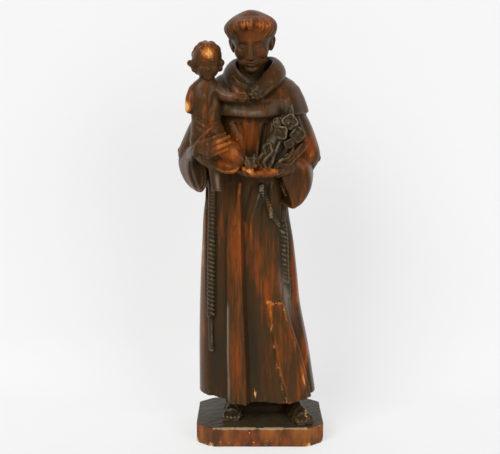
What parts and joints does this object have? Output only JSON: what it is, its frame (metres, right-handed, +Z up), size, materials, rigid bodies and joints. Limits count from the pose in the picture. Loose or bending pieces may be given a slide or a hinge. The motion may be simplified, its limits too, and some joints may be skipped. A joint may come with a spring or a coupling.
{
  "type": "wooden saint statue",
  "caption": "Carved wooden statue of a tonsured friar in a hooded habit with a rope girdle, carrying a child and a spray of lilies, on a low plinth with cut corners.",
  "frame": {"origin": "centre of the plinth's underside, where the statue rests", "axes": "+Z up along the figure, -Y out of its front, +X toward the side that holds the lilies"},
  "size_m": [0.1704, 0.1262, 0.4997],
  "materials": {
    "plinth_wood": "worn dark stain over reddish wood",
    "stained_wood": "dark stain and varnish, rubbed through on the ridges"
  },
  "bodies": {
    "root": {"plinth": "plinth_wood", "saint_figure": "stained_wood"}
  },
  "joints": []
}
